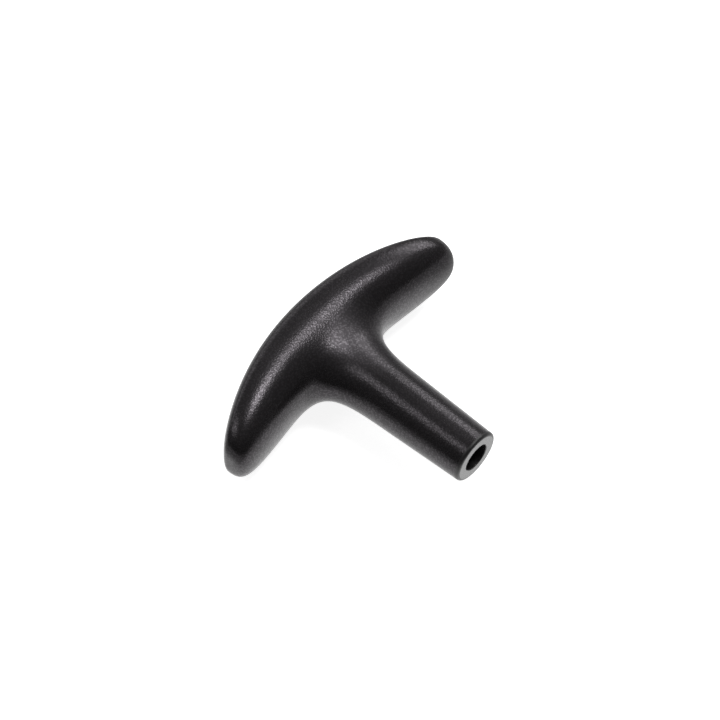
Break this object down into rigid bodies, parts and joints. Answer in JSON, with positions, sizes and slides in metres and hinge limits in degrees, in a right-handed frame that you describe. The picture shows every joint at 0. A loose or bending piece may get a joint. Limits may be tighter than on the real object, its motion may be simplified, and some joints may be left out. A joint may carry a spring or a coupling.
{
  "type": "starter handle",
  "caption": "Moulded T grip for a recoil starter cord: arched crown bar on a tapering round stem with an axial cord bore and a knot pocket.",
  "frame": {"origin": "centre of the bounding box in X and Y, at the lowest point of the grip as it lies on one broad side", "axes": "+X along the crown bar from tip to tip, -Y along the stem toward its end face, +Z across the thickness"},
  "size_m": [0.1, 0.0728, 0.0308],
  "materials": {
    "black_plastic": "fine leather-like spark-eroded grain, satin"
  },
  "bodies": {
    "root": {"handle": "black_plastic"}
  },
  "joints": []
}
